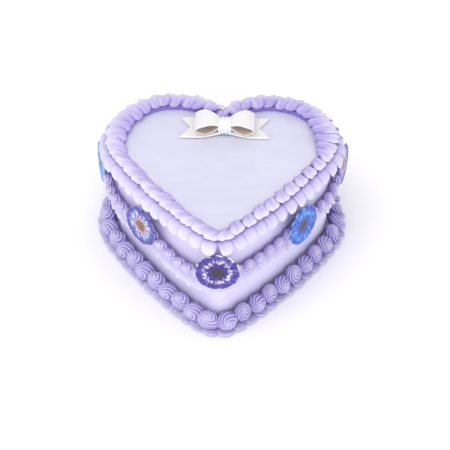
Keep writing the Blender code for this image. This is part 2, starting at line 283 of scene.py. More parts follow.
LOWER_PITCH = 0.0116
BACK_FROM = 0.020
BACK_BLEND = 0.030
BACK_SINK = 0.0024
LOWER_RAIL = 0.005
CLEFT_BLEND = 0.014
PETAL_ROWS = 15
PLEAT_SHADE = 280
PATH_STEP = 0.0015
PIPING_SLIP = 0.0005
PIPED_PORES = 700.0
LOWEST = 0.0001
UNEVEN_SEED = 7


def petal_mesh(
    name,
    width,
    spine,
    lift,
    thick,
    tongue,
    waist=1.0,
    sweep=0.0,
    cup=0.0,
    crest=1.0,
    root_round=0.0,
    dark=0.55,
    lobes=1,
    pleat=0.0,
    notch=0.0,
    across=17,
):
    """A closed petal: x outwards, y along the border, z up.

    spine has four points (out, up) from root to edge. lift raises the side where piping began, most at
    crest of the way out. tongue rounds the edge back at both sides and root_round does so at the root.
    cup raises the rim, waist narrows the root, sweep carries it forwards and dark is how much shade is
    painted towards its root.
    lobes is the number of frills side by side, pleat how far each stands up and notch how deep the edge
    is cut between two.
    """
    rows = PETAL_ROWS
    fits = [np.polyfit((0, 1 / 3, 2 / 3, 1), values, 3) for values in zip(*spine)]
    slopes = [np.polyder(fit) for fit in fits]
    u, v = np.meshgrid(np.linspace(0, 1, across), np.linspace(0, 1, rows))
    u = 0.5 - 0.5 * np.cos(math.pi * u)
    v = 0.5 - 0.5 * np.cos(math.pi * (0.12 + 0.88 * v))
    v = (v - v[0]) / (1 - v[0])
    off = np.abs(2 * u - 1)
    fall = 1 - np.sqrt(1 - (0.985 * off) ** 2)
    scallop = 1 - np.sqrt(1 - (0.97 * np.abs(2 * (lobes * u % 1.0) - 1)) ** 2)
    s = v * (1 - tongue * fall - notch * scallop) + root_round * fall * (1 - v)
    out, up = (np.polyval(fit, s) for fit in fits)
    run, rise = (np.polyval(slope, s) for slope in slopes)
    length = np.hypot(run, rise)
    rim = 1 - (1 - off**3) * (1 - ((v - 0.55) / 0.45).clip(0, 1) ** 2)
    fold = 0.5 - 0.5 * np.cos(2 * math.pi * lobes * u)
    raised = lift * (1 - u) * (s / crest) * np.exp(1 - s / crest)
    raised = raised + cup * rim * v + pleat * fold * s.clip(0, 1) ** 0.7
    along = (u - 0.5) * width * (waist + (1 - waist) * s) + sweep * (1 - s) ** 1.5
    middle = np.stack((out - rise / length * raised, along, up + run / length * raised), axis=-1)
    facing = np.cross(np.gradient(middle, axis=0), np.gradient(middle, axis=1))
    facing /= np.linalg.norm(facing, axis=-1, keepdims=True)
    side = np.clip(1 - off**5, 0, 1) ** 0.5
    end = np.clip(1 - ((v - 0.84) / 0.16).clip(0, 1) ** 2, 0, 1) ** 0.5
    root = np.clip(1 - ((0.10 - v) / 0.10).clip(0, 1) ** 2, 0, 1) ** 0.5
    half = (thick * side * end * root * (1.5 - 0.7 * s))[..., None]
    made = bmesh.new()
    groove = made.verts.layers.float.new("groove")
    corners = [[None] * across for _ in range(rows)]
    # Painted shade: darker towards the root, away from the rim, at the end side, in the start corner, between
    # the frills, and a half shade on the underside.
    start_corner = (1 - u) ** 4 * (1 - v) ** 1.2
    depth = dark * (1 - v) ** 1.6 + 0.18 * (1 - rim) + 0.6 * u**6 + 1.1 * start_corner
    depth = (depth + PLEAT_SHADE * pleat * (1 - fold) * (1 - rim)).clip(0, 1)
    for sign in (1, -1):
        grid = middle + sign * half * facing
        for i in range(rows):
            for j in range(across):
                if sign < 0 and (i in (0, rows - 1) or j in (0, across - 1)):
                    continue
                corners[i][j] = made.verts.new(grid[i, j])
                corners[i][j][groove] = depth[i, j] if sign > 0 else 0.5
        for i in range(rows - 1):
            for j in range(across - 1):
                face = [corners[i][j], corners[i + 1][j], corners[i + 1][j + 1], corners[i][j + 1]]
                made.faces.new(face if sign > 0 else face[::-1]).smooth = True
    mesh = bpy.data.meshes.new(name)
    made.to_mesh(mesh)
    made.free()
    return mesh


def border_tree():
    """Geometry Nodes tree that sets pieces along a closed path, two shapes by turns."""
    tree = bpy.data.node_groups.new("piped_border", "GeometryNodeTree")
    sockets = (
        ("Geometry", "Geometry"),
        ("Path", "Object"),
        ("Piece", "Object"),
        ("Next Piece", "Object"),
        ("Count", "Int"),
        ("Size Spread", "Float"),
        ("Turn Spread", "Float"),
        ("Shift", "Float"),
        ("Seed", "Int"),
        ("Finish", "Material"),
    )
    for name, kind in sockets:
        tree.interface.new_socket(name, in_out="INPUT", socket_type="NodeSocket" + kind)
    tree.interface.new_socket("Geometry", in_out="OUTPUT", socket_type="NodeSocketGeometry")
    inlet = tree.nodes.new("NodeGroupInput")
    given = {socket.name: Wire(tree, socket) for socket in inlet.outputs}

    def add(kind, settings=None, inputs=None, output=0):
        return Wire.node(tree, kind, settings, inputs, output)

    def spread(low, high, seed_step):
        seed = given["Seed"] + seed_step
        return add("FunctionNodeRandomValue", {"data_type": "FLOAT"}, {2: low, 3: high, "Seed": seed}, 1)

    path = add("GeometryNodeObjectInfo", None, {"Object": given["Path"]}, "Geometry")
    points = add("GeometryNodeCurveToPoints", {"mode": "COUNT"}, {"Curve": path, "Count": given["Count"]})
    travel = points.out("Tangent")
    level = {"axis": "Y", "pivot_axis": "Z"}
    turned = add("FunctionNodeAlignRotationToVector", level, {"Vector": travel})
    slope = {"axis": "Y", "pivot_axis": "X"}
    turned = add("FunctionNodeAlignRotationToVector", slope, {"Rotation": turned, "Vector": travel})
    yaw = add("GeometryNodeInputNamedAttribute", {"data_type": "FLOAT"}, {"Name": "tilt"})
    wobble = given["Turn Spread"]
    tilts = [share * spread(0 - wobble, wobble, step) for step, share in enumerate((0.3, 0.6, 1.0), start=1)]
    turns = {0: tilts[0], 1: tilts[1], 2: yaw + tilts[2]}
    by = add("ShaderNodeCombineXYZ", None, turns)
    own_axes = {"rotation_space": "LOCAL"}
    turned = add("FunctionNodeRotateRotation", own_axes, {"Rotation": turned, "Rotate By": by})
    size = spread(1 - given["Size Spread"], 1 + given["Size Spread"], 4)
    scale = add("ShaderNodeCombineXYZ", None, {0: add("GeometryNodeInputRadius") * size, 1: size, 2: size})
    number = add("GeometryNodeInputIndex")
    odd = number.maths("MODULO", number, 2.0)
    joined = tree.nodes.new("GeometryNodeJoinGeometry")
    for label, chosen in (("Piece", 1 - odd), ("Next Piece", odd)):
        shape = add("GeometryNodeObjectInfo", None, {"Object": given[label]}, "Geometry")
        inputs = {"Points": points, "Selection": chosen, "Instance": shape}
        inputs |= {"Rotation": turned, "Scale": scale}
        tree.links.new(add("GeometryNodeInstanceOnPoints", None, inputs).socket, joined.inputs[0])
    shift = spread(0 - given["Shift"], given["Shift"], 5)
    offset = add("ShaderNodeCombineXYZ", None, {1: shift})
    placed = {"Instances": Wire(tree, joined.outputs[0]), "Translation": offset}
    moved = add("GeometryNodeTranslateInstances", None, placed)
    real = add("GeometryNodeRealizeInstances", None, {"Geometry": moved})
    done = add("GeometryNodeSetMaterial", None, {"Geometry": real, "Material": given["Finish"]})
    tree.links.new(done.socket, tree.nodes.new("NodeGroupOutput").inputs[0])
    return tree


PIPED_BORDER = border_tree()


def path_round(rail, start, height=lambda along: 0.0, reach=lambda x, y: 1.0):
    """Closed curve along a rail. Its tilt turns pieces towards the line of symmetry at the cleft."""
    count = int(2 * rail.half / PATH_STEP)
    along = start + np.arange(count) * 2 * rail.half / count
    x, y, angle = rail.at(along)
    wrapped = np.abs((along + rail.half) % (2 * rail.half) - rail.half)
    near = np.clip(1 - (rail.half - wrapped) / CLEFT_BLEND, 0, 1)
    curve = bpy.data.curves.new("path", "CURVE")
    curve.dimensions = "3D"
    line = curve.splines.new("POLY")
    line.points.add(count - 1)
    line.use_cyclic_u = True
    for i, point in enumerate(line.points):
        aim = Vector((math.cos(angle[i]), math.sin(angle[i]))).lerp(Vector((0.0, 1.0)), near[i])
        turn = math.atan2(aim.y, aim.x) - angle[i]
        point.co = (x[i], y[i], height(along[i]), 1.0)
        point.tilt = (turn + math.pi) % (2 * math.pi) - math.pi
        point.radius = reach(x[i], y[i])
    return put_in_scene("path", curve)


def pipe_border(name, path, shapes, count, finish, seed, size=0.04, turn=0.05):
    """Runs the border tree and keeps its result as a plain mesh."""
    guides = [path] + [put_in_scene(mesh.name, mesh) for mesh in shapes]
    made = put_in_scene(name, bpy.data.meshes.new(name))
    modifier = made.modifiers.new("border", "NODES")
    modifier.node_group = PIPED_BORDER
    values = {
        "Path": path,
        "Piece": guides[1],
        "Next Piece": guides[-1],
        "Count": count,
        "Size Spread": size,
        "Turn Spread": turn,
        "Shift": PIPING_SLIP,
        "Seed": seed,
        "Finish": finish,
    }
    for socket in PIPED_BORDER.interface.items_tree:
        if socket.in_out == "INPUT" and socket.name in values:
            modifier[socket.identifier] = values[socket.name]
    graph = bpy.context.evaluated_depsgraph_get()
    mesh = bpy.data.meshes.new_from_object(made.evaluated_get(graph), depsgraph=graph)
    made.modifiers.remove(modifier)
    made.data = mesh
    for guide in guides:
        bpy.data.objects.remove(guide)
    return made


def even_count(rail, pitch):
    """How many pieces go round a rail, the same number on both sides of the heart."""
    return 2 * round(rail.half / pitch)


def piped_icing(name, ridge, hollow):
    """Buttercream from a piping tip, with painted shade: ridge colour where the piece's shade attribute is 0,
    hollow colour at 1.
    """
    finish, tree, shader, place = new_finish(name, **CREAM)
    depth = Wire.node(tree, "ShaderNodeAttribute", {"attribute_name": "groove"}, None, "Fac")
    cloud = speckle(tree, place, 30.0)
    pores = speckle(tree, place, PIPED_PORES)
    # Painted shade from the piece's attribute, with a random mottle in it.
    painted_shade_mottled = (depth + 0.25 * (cloud - 0.5)).between(0.0, 1.0)
    feed(tree, shader, painted_shade_mottled.tint(ridge, hollow), 0.46 + 0.12 * cloud, pores, 0.00025)
    return finish


def uneven(piece, amount, scale=0.007):
    """Moves a piece's points a little, as icing is never piped twice alike. None goes below the table."""
    noise.seed_set(UNEVEN_SEED)
    for point in piece.data.vertices:
        point.co += amount * noise.noise_vector(point.co / scale)
        point.co.z = max(LOWEST, point.co.z)


petal_icing = piped_icing("icing_petals", (0.700, 0.680, 0.820), (0.34, 0.26, 0.66))
lower_rail = Rail(LOWER_RAIL)
lower_count = even_count(lower_rail, LOWER_PITCH)
lower_start = lower_rail.half / lower_count
lower_spine = ((-0.0080, -0.0004), (-0.0012, 0.0000), (0.0032, -0.0026), (0.0050, -0.0086))
lower_petal = petal_mesh(
    "lower_petal",
    width=0.0136,
    spine=lower_spine,
    lift=0.0013,
    thick=0.0006,
    tongue=0.38,
    waist=0.9,
    sweep=0.001,
    cup=0.0012,
    crest=0.8,
    dark=0.7,
)


def share_of_back(y):
    """0 on the near side of the cake and 1 on the far side."""
    share = min(1.0, max(0.0, (y - BACK_FROM) / BACK_BLEND))
    return share * share * (3 - 2 * share)


lower_tier = pipe_border(
    "top_ruffle_lower_piped",
    path_round(lower_rail, lower_start, lambda along: CAKE_HEIGHT),
    [lower_petal],
    lower_count,
    size=0.05,
    turn=0.08,
    seed=11,
    finish=petal_icing,
)
for point in lower_tier.data.vertices:
    point.co.z -= BACK_SINK * share_of_back(point.co.y)
uneven(lower_tier, 0.0005)
finish_piece(lower_tier, "icing_piped", "top_ruffle_lower")


# Upper tier of the top ruffle: longer buttercream petals laid on the lower ones. Each is pulled inwards and
# forwards as it is piped, so that its root lies along the border like a strand. On the far side they are
# frilled and stand up from the top, and one last petal closes the ring at the cleft.

UPPER_RAIL = 0.0045
UPPER_PITCH = 0.0132
UPPER_BACK_LEAD = 0.010
CLEFT_Y = 0.0667
CLEFT_REACH = 0.70
CLEFT_SPREAD = 0.030
CLEFT_PETAL_Y = 0.0740
CLEFT_PETAL_SIZE = 0.80


def upper_reach(x, y):
    """The ruffle narrows at the cleft."""
    from_cleft = math.hypot(x, y - CLEFT_Y)
    return CLEFT_REACH + (1 - CLEFT_REACH) * min(1.0, from_cleft / CLEFT_SPREAD) ** 2


upper_rail = Rail(UPPER_RAIL)
upper_count = even_count(upper_rail, UPPER_PITCH)
upper_start = upper_rail.half / upper_count
near_spine = ((-0.0140, -0.0010), (-0.0090, 0.0014), (-0.0035, 0.0032), (0.0, 0.0024))
far_spine = ((-0.0195, 0.0046), (-0.0120, 0.0052), (-0.0050, 0.0040), (0.0005, 0.0004))
near_petal = petal_mesh(
    "near_petal",
    width=0.0190,
    spine=near_spine,
    lift=0.0024,
    thick=0.0006,
    tongue=0.36,
    waist=0.50,
    sweep=0.0085,
    cup=0.0003,
    crest=0.45,
    root_round=0.36,
    dark=0.30,
    lobes=2,
    pleat=0.0008,
    notch=0.05,
    across=25,
)
far_petal = petal_mesh(
    "far_petal",
    width=0.0190,
    spine=far_spine,
    lift=0.0018,
    thick=0.0008,
    tongue=0.50,
    waist=0.62,
    sweep=0.0015,
    cup=0.0010,
    crest=0.4,
    root_round=0.25,
    dark=0.22,
    lobes=2,
    pleat=0.0012,
    notch=0.20,
    across=25,
)
upper_tiers = [
    pipe_border(
        "top_ruffle_upper_piped",
        path_round(upper_rail, upper_start, lambda along: CAKE_HEIGHT, upper_reach),
        [petal],
        upper_count,
        size=0.07,
        turn=0.11,
        seed=12,
        finish=petal_icing,
    )
    for petal in (near_petal, far_petal)
]
upper_tier, far_tier = upper_tiers
for point, far_point in zip(upper_tier.data.vertices, far_tier.data.vertices):
    point.co = point.co.lerp(far_point.co, share_of_back(point.co.y + UPPER_BACK_LEAD))
bpy.data.objects.remove(far_tier)
last_petal = far_petal.copy()
at_cleft = Matrix.Translation((0.0, CLEFT_PETAL_Y, CAKE_HEIGHT)) @ Matrix.Rotation(math.pi / 2, 4, "Z")
last_petal.transform(at_cleft @ Matrix.Scale(CLEFT_PETAL_SIZE, 4))
made = bmesh.new()
made.from_mesh(upper_tier.data)
made.from_mesh(last_petal)
made.to_mesh(upper_tier.data)
made.free()
upper_tier.data.polygons.foreach_set("material_index", [0] * len(upper_tier.data.polygons))
upper_tier.data.materials.clear()
upper_tier.data.materials.append(petal_icing)
uneven(upper_tier, 0.0007)
finish_piece(upper_tier, "icing_piped", "top_ruffle_upper")


# Painted shade under the top ruffle: a deep violet ring round the edge where both tiers leave only shade.
# It fills gaps between petals, is low on the near side, and on the far side a small wall that shows under
# them.

SHADE_BED_COLUMNS = 400
SHADE_BED_CLEFT_SPREAD = 0.012
NEAR_SHADE_BED = (
    (-0.0082, -0.0012),
    (-0.0076, 0.0007),
    (-0.0030, 0.0014),
    (0.0008, 0.0004),
    (0.0022, -0.0030),
    (0.0, -0.0042),
)
FAR_SHADE_BED = (
    (-0.0128, -0.0012),
    (-0.0126, 0.0034),
    (-0.0060, 0.0034),
    (0.0008, 0.0002),
    (0.0020, -0.0050),
    (0.0, -0.0062),
)


def shade_bed_mesh():
    """Closed ring whose section goes over from the near to the far one."""
    rail = Rail(0.0)
    x, y, angle = rail.at(np.arange(SHADE_BED_COLUMNS) * 2 * rail.half / SHADE_BED_COLUMNS)
    rows = []
    for near, far in zip(NEAR_SHADE_BED, FAR_SHADE_BED):
        row = []
        for px, py, turn in zip(x, y, angle):
            share = share_of_back(py + UPPER_BACK_LEAD)
            out, up = (a + (b - a) * share for a, b in zip(near, far))
            out *= upper_reach(px, py) if out < 0 else min(1.0, abs(px) / SHADE_BED_CLEFT_SPREAD)
            row.append((px + out * math.cos(turn), py + out * math.sin(turn), CAKE_HEIGHT + up))
        rows.append(row)
    return skin("bed", np.array(rows), round_rows=True)


def face_outwards(mesh):
    made = bmesh.new()
    made.from_mesh(mesh)
    bmesh.ops.recalc_face_normals(made, faces=made.faces)
    made.to_mesh(mesh)
    made.free()


bed = put_in_scene("top_ruffle_bed", shade_bed_mesh())
face_outwards(bed.data)
# Painted shade: the ring is coloured deep violet to stand for the shade under the petals.
bed.data.materials.append(piped_icing("icing_bed", (0.23, 0.17, 0.52), (0.16, 0.11, 0.42)))
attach(bed, "root")


# Swags: a hanging ruffle of soft buttercream petals, piped on the wall with a petal tip. It dips between the
# points where the discs sit, and each petal hangs a little away from the wall at its edge.

DISC_PLACES = (-0.251, -0.168, -0.0808, 0.0, 0.0870, 0.170, 0.251)
DISC_HEIGHTS = (0.066, 0.065, 0.0676, 0.0732, 0.0668, 0.065, 0.066)
SWAG_TOP = 0.065
SWAG_DIPS = (0.008, 0.009, 0.011, 0.0055, 0.0055, 0.008, 0.005)
SWAG_RUFFLE_PITCH = 0.011
WALL_HALF = Rail(0.0).half


def swag_height(rail):
    """Height along a rail: highest at each disc and lowest half way between two."""
    scale = rail.half / WALL_HALF
    ends = [p * scale for p in DISC_PLACES]
    ends = [ends[-1] - 2 * rail.half] + ends + [ends[0] + 2 * rail.half]
    spans = list(zip(ends, ends[1:], (SWAG_DIPS[-1],) + SWAG_DIPS))

    def height(along):
        along = (along + rail.half) % (2 * rail.half) - rail.half
        first, last, dip = next(span for span in spans if span[0] <= along <= span[1])
        return SWAG_TOP - dip * (1 - (2 * (along - first) / (last - first) - 1) ** 2)

    return height


wall_rail = Rail(0.0)
swag_count = even_count(wall_rail, SWAG_RUFFLE_PITCH)
swag_start = wall_rail.half / swag_count
swag_spine = ((0.0006, 0.0), (0.0024, -0.008), (0.0034, -0.0145), (0.0052, -0.0205))
swag_petal = petal_mesh(
    "swag_petal",
    width=0.0190,
    spine=swag_spine,
    lift=0.0012,
    thick=0.0007,
    tongue=0.40,
    waist=0.9,
    sweep=0.002,
    cup=0.0008,
    crest=0.8,
    dark=0.4,
    lobes=2,
    pleat=0.0009,
    notch=0.16,
    across=25,
)
swag_icing = piped_icing("icing_swags", (0.68, 0.66, 0.81), (0.44, 0.39, 0.70))
swag_ruffle = pipe_border(
    "swag_ruffle_piped",
    path_round(wall_rail, swag_start, swag_height(wall_rail)),
    [swag_petal],
    swag_count,
    turn=0.08,
    seed=13,
    finish=swag_icing,
)
uneven(swag_ruffle, 0.0007, 0.005)
finish_piece(swag_ruffle, "icing_piped", "swag_ruffle")


# Rope of small buttercream shells over the root of the hanging ruffle, piped with an open star tip. Each
# shell curls over from its eye and runs on under the next.

ROPE_RAIL = 0.0058
ROPE_PITCH = 0.0118
EYE_BACK = 0.06
EYE_ASIDE = 0.15
EYE_SHADE = 0.15
UNDER_SHADE = 0.8


def shell_mesh(name, length, width, high, ridges, cut, twist, lean, side, columns, stations):
    """A shell: a head of star-shaped icing whose ridges wind round its eye and run off into a short tail.

    It is length along the border and width across, and stands high before its path. cut is the depth of
    the hollows between the ridges, twist the turn of the ridges from eye to rim and lean the angle of the
    face above the horizon. side is 1 or -1, by the way the shell curls.
    """
    facing = Vector((math.cos(lean), 0.0, math.sin(lean)))
    rising = Vector((-math.sin(lean), 0.0, math.cos(lean))) * side
    ridge = np.abs(np.sin(math.pi * ridges * np.arange(columns) / columns)) ** 0.8
    rows, painted_shades = [], []
    for polar in math.pi * np.linspace(0.03, 0.96, stations):
        turned = twist * (1 - min(1.0, polar / 1.75)) ** 1.2
        front = max(0.0, math.cos(polar)) ** 1.5
        faded = min(1.0, polar / 0.55) * min(1.0, max(0.0, (2.3 - polar) / 0.5))
        reach = 1 - cut * faded * (1 - ridge)
        row = []
        for j in range(columns):
            around = 2 * math.pi * j / columns + turned
            round_eye = math.sin(polar) * reach[j]
            tail = 0.22 * max(0.0, math.cos(around - 0.5)) ** 2
            along = length * (0.5 * round_eye * math.cos(around) * (1 + tail) - EYE_BACK * front)
            up = width * (0.5 * round_eye * math.sin(around) * (1 - 0.4 * tail) - EYE_ASIDE * front)
            out = high * reach[j] * math.cos(polar) * (1.0 if polar < math.pi / 2 else 0.6) - 0.20 * along
            row.append(Vector((0.0, along, 0.0)) + rising * up + facing * out)
        rows.append(row)
        # Painted shade: in the hollows between the ridges, round the widest part and under the shell, with a
        # little in the eye.
        under = UNDER_SHADE * min(1.0, max(0.0, (polar - 1.45) / 0.5))
        painted_shades.append(faded * (1 - ridge) + 0.35 * max(0.0, math.sin(polar)) ** 6 + under)
    eye = facing * (high * (1 + 0.2 * EYE_BACK)) - Vector((0.0, EYE_BACK * length, 0.0))
    eye -= rising * (EYE_ASIDE * width)
    mesh = skin(name, np.array(rows), eye, facing * (-0.6 * high))
    groove = mesh.attributes.new("groove", "FLOAT", "POINT")
    painted_shades = np.append(np.array(painted_shades).ravel(), (EYE_SHADE, UNDER_SHADE))
    groove.data.foreach_set("value", painted_shades.clip(0, 1).astype(np.float32))
    face_outwards(mesh)
    return mesh


shell_icing = piped_icing("icing_shells", (0.625, 0.585, 0.79), (0.29, 0.22, 0.58))
rope_rail = Rail(ROPE_RAIL)
rope_count = even_count(rope_rail, ROPE_PITCH)
rope_start = rope_rail.half / rope_count
small_shell = shell_mesh(
    "small_shell",
    length=0.0150,
    width=0.0108,
    high=0.0052,
    ridges=5,
    cut=0.25,
    twist=4.0,
    lean=math.radians(24),
    side=-1,
    columns=65,
    stations=22,
)
swag_rope = pipe_border(
    "swag_shells_piped",
    path_round(rope_rail, rope_start, swag_height(rope_rail)),
    [small_shell],
    rope_count,
    seed=14,
    finish=shell_icing,
)
uneven(swag_rope, 0.0004)
finish_piece(swag_rope, "icing_piped", "swag_shells")


# Flat ruffle round the foot: tongues of buttercream piped on the table with a petal tip, which run out from
# under the shells.

FOOT_RUFFLE_RAIL = 0.010
FOOT_RUFFLE_PITCH = 0.012

foot_rail = Rail(FOOT_RUFFLE_RAIL)
foot_count = even_count(foot_rail, FOOT_RUFFLE_PITCH)
foot_start = foot_rail.half / foot_count
foot_spine = ((-0.008, 0.0022), (-0.002, 0.0020), (0.004, 0.0016), (0.0088, 0.0013))
foot_petal = petal_mesh(
    "foot_petal",
    width=0.0152,
    spine=foot_spine,
    lift=0.0026,
    thick=0.0007,
    tongue=0.50,
    waist=0.85,
    sweep=0.003,
    cup=0.0007,
    dark=0.7,
)
# Painted shade: a darker copy of the ruffle buttercream, as this ruffle lies lowest on the table.
foot_icing = piped_icing("icing_foot", (0.58, 0.55, 0.76), (0.36, 0.30, 0.63))
foot_ruffle = pipe_border(
    "foot_ruffle_piped",
    path_round(foot_rail, foot_start),
    [foot_petal],
    foot_count,
    turn=0.03,
    seed=15,
    finish=foot_icing,
)
uneven(foot_ruffle, 0.0005)
finish_piece(foot_ruffle, "icing_piped", "foot_ruffle")


# Reverse shells round the foot, piped in buttercream with a large star tip: by turns a shell curls over
# from below and one from above, and each head lies on the tail of the last.

SHELL_RAIL = 0.0089
SHELL_HEIGHT = 0.0112
SHELL_PITCH = 0.0156

shell_rail = Rail(SHELL_RAIL)
shell_count = even_count(shell_rail, SHELL_PITCH)
shell_start = shell_rail.half / shell_count
big_shells = [
    shell_mesh(
        name,
        length=0.0184,
        width=0.0160,
        high=0.0072,
        ridges=6,
        cut=0.17,
        twist=4.2,
        lean=math.radians(40),
        side=side,
        columns=78,
        stations=25,
    )
    for name, side in (("shell_over", 1), ("shell_under", -1))
]
# Painted shade: a darker copy of the shells' buttercream, as the foot shells sit lowest and get less light.
foot_shell_icing = piped_icing("icing_foot_shells", (0.53, 0.495, 0.72), (0.24, 0.18, 0.54))
foot_shells = pipe_border(
    "foot_shells_piped",
    path_round(shell_rail, shell_start, lambda along: SHELL_HEIGHT),
    big_shells,
    shell_count,
    seed=16,
    finish=foot_shell_icing,
)
uneven(foot_shells, 0.0006)
finish_piece(foot_shells, "icing_piped", "foot_shells")


# Seven thin wafer discs printed with flowers, cut out with a ragged edge that leaves some white wafer, and
# pressed on the points where the swags meet. The rear ones stand off the curve of the wall.

DISC_RADIUS = 0.0189
DISC_LEAN = math.radians(4)
DISC_THICKNESS = 0.0009
DISC_OUT = 0.0108
DISC_COLUMNS = 144
DISC_RINGS = 9


def disc_mesh(name, along, height, petals, curl, turn, facing, out_more):
    """Thin plate with a scalloped rim, slightly curled, its face outwards with a print map over it."""
    x, y, angle = Rail(out_more).at(along * Rail(out_more).half / WALL_HALF)
    lean = Matrix.Translation((DISC_OUT, 0.0, height)) @ Matrix.Rotation(-DISC_LEAN, 4, "Y")
    lean = lean @ Matrix.Rotation(facing, 4, "Z") @ Matrix.Translation((-DISC_OUT, 0.0, -height))
    frame_of = Matrix.Rotation(float(angle), 4, "Z") @ lean
    turns = np.arange(DISC_COLUMNS) * 2 * math.pi / DISC_COLUMNS
    rim = 0.965 + 0.022 * np.cos(petals * turns + turn)
    rim = DISC_RADIUS * (rim + 0.010 * np.cos(3 * petals * turns + 2 * turn))
    back_rings = [(share, 0.0) for share in (0.5, 0.97, 1.0)]
    front_rings = [(share, 1.0) for share in np.linspace(1.0, 0.1, DISC_RINGS)]
    rows = []
    for share, depth in back_rings + front_rings:
        across, up = rim * share * np.cos(turns), rim * share * np.sin(turns)
        bow = curl * (across**2 - 0.4 * up**2) / DISC_RADIUS
        out = DISC_OUT + DISC_THICKNESS * depth + bow
        if depth and share == 1.0:
            across, up = across * 0.992, up * 0.992
        rows.append(np.column_stack((out, across, height + up)))
    mesh = skin(name, np.array(rows), (DISC_OUT, 0.0, height), (DISC_OUT + DISC_THICKNESS, 0.0, height))
    flat = np.array([(v.co.y, v.co.z - height) for v in mesh.vertices]) / (2 * DISC_RADIUS) + 0.5
    layer = mesh.uv_layers.new(name="print")
    for loop in mesh.loops:
        layer.data[loop.index].uv = flat[loop.vertex_index]
    mesh.transform(Matrix.Translation((float(x), float(y), 0.0)) @ frame_of)
    return mesh


def flower_print(
    name,
    petals,
    ragged,
    seed,
    deep,
    body,
    light,
    middle,
    heart,
    spark,
    margin,
    heart_size,
    flecks,
    streaks,
    rimmed,
):
    """A printed flower on wafer: streaked petals from deep to body and light, and a heart with sparks.

    middle is the colour round the heart and margin that of the wafer. flecks, streaks and rimmed say how
    strongly the pale flecks, the pale streaks and the dark rim are printed.
    """
    finish, tree, shader, _ = new_finish(name)

    def vector(operation, *values, output=0):
        inputs = dict(enumerate(values))
        return Wire.node(tree, "ShaderNodeVectorMath", {"operation": operation}, inputs, output)

    chart = Wire.node(tree, "ShaderNodeUVMap", {"uv_map": "print"})
    centred = vector("SUBTRACT", chart, (0.5, 0.5, 0.0))
    radius = 2.0 * vector("LENGTH", centred, output=1)
    parts = Wire.node(tree, "ShaderNodeSeparateXYZ", None, {0: vector("NORMALIZE", centred)})
    swept = {0: parts.out("X"), 1: parts.out("Y"), 2: radius * 0.5 + seed}
    swept = Wire.node(tree, "ShaderNodeCombineXYZ", None, swept)
    fine = speckle(tree, chart, 38.0, 3.0)
    streak = speckle(tree, swept, 6.5)
    broad = speckle(tree, swept, 2.3, 1.0)
    angle = radius.maths("ARCTAN2", parts.out("Y"), parts.out("X"))
    wave = angle * (0.5 * petals) + 3.0 * broad
    petal = wave.maths("ABSOLUTE", wave.maths("SINE", wave))
    bent = radius + ragged * (streak - 0.5) + 0.4 * ragged * (fine - 0.5) - 0.05 * petal
    inner = radius + 0.30 * (broad - 0.5) + 0.08 * (streak - 0.5) - 0.06 * petal
    ring = inner.between(0.42, 0.50) * (1 - inner.between(0.56, 0.68))
    core = 1 - (radius + 0.25 * (fine - 0.5) + 0.12 * (broad - 0.5)).between(heart_size, heart_size + 0.06)
    colour = (streak + 0.5 * (fine - 0.5)).between(0.36, 0.62).tint(deep, body)
    colour = (streaks * (0.7 * streak + 0.3 * fine).between(0.50, 0.62)).tint(colour, light)
    shade = 0.85 * (1 - inner.between(0.34, 0.58)) * (0.6 * streak + 0.4 * fine).between(0.36, 0.50)
    colour = shade.tint(colour, middle)
    colour = (rimmed * (radius + 0.2 * (broad - 0.5)).between(0.66, 0.84)).tint(colour, deep)
    gaps = (1 - petal.between(0.0, 0.22)) * 0.7 * radius.between(0.2, 0.5)
    colour = gaps.tint(colour, tuple(0.45 * part for part in deep))
    colour = (ring * flecks * (0.5 * streak + 0.5 * fine).between(0.47, 0.54)).tint(colour, light)
    colour = (core * 0.95).tint(colour, fine.between(0.40, 0.62).tint(heart, spark))
    colour = bent.between(0.90, 0.94).tint(colour, margin)
    feed(tree, shader, colour, 0.42 + 0.2 * ring, fine, 0.0001)
    return finish


VIOLET = dict(
    deep=(0.050, 0.028, 0.230),
    body=(0.105, 0.065, 0.400),
    light=(0.78, 0.74, 0.95),
    middle=(0.035, 0.018, 0.150),
    heart=(0.012, 0.009, 0.016),
    spark=(0.075, 0.045, 0.060),
    margin=(0.74, 0.74, 0.84),
    heart_size=0.23,
    flecks=1.0,
    streaks=0.12,
    rimmed=0.2,
)
BLUE = dict(
    deep=(0.045, 0.065, 0.460),
    body=(0.040, 0.190, 0.660),
    light=(0.18, 0.46, 0.90),
    middle=(0.050, 0.080, 0.420),
    heart=(0.045, 0.038, 0.060),
    spark=(0.095, 0.080, 0.115),
    margin=(0.24, 0.48, 0.86),
    heart_size=0.24,
    flecks=0.6,
    streaks=0.75,
    rimmed=0.2,
)
# The blue print with lighter colours and a smaller heart: painted light for disc 2, which stands in shade.
BLUE_PAINTED_LIGHTER = dict(
    deep=(0.080, 0.180, 0.620),
    body=(0.110, 0.360, 0.820),
    light=(0.40, 0.68, 0.96),
    middle=(0.10, 0.20, 0.60),
    heart=(0.05, 0.05, 0.12),
    spark=(0.14, 0.12, 0.25),
    margin=(0.70, 0.78, 0.90),
    heart_size=0.18,
    flecks=0.6,
    streaks=0.9,
    rimmed=0.1,
)
PALE = dict(
    deep=(0.075, 0.060, 0.340),
    body=(0.22, 0.42, 0.80),
    light=(0.72, 0.68, 0.86),
    middle=(0.62, 0.44, 0.52),
    heart=(0.13, 0.065, 0.035),
    spark=(0.36, 0.17, 0.08),
    margin=(0.34, 0.30, 0.64),
    heart_size=0.26,
    flecks=0.9,
    streaks=0.7,
    rimmed=0.9,
)
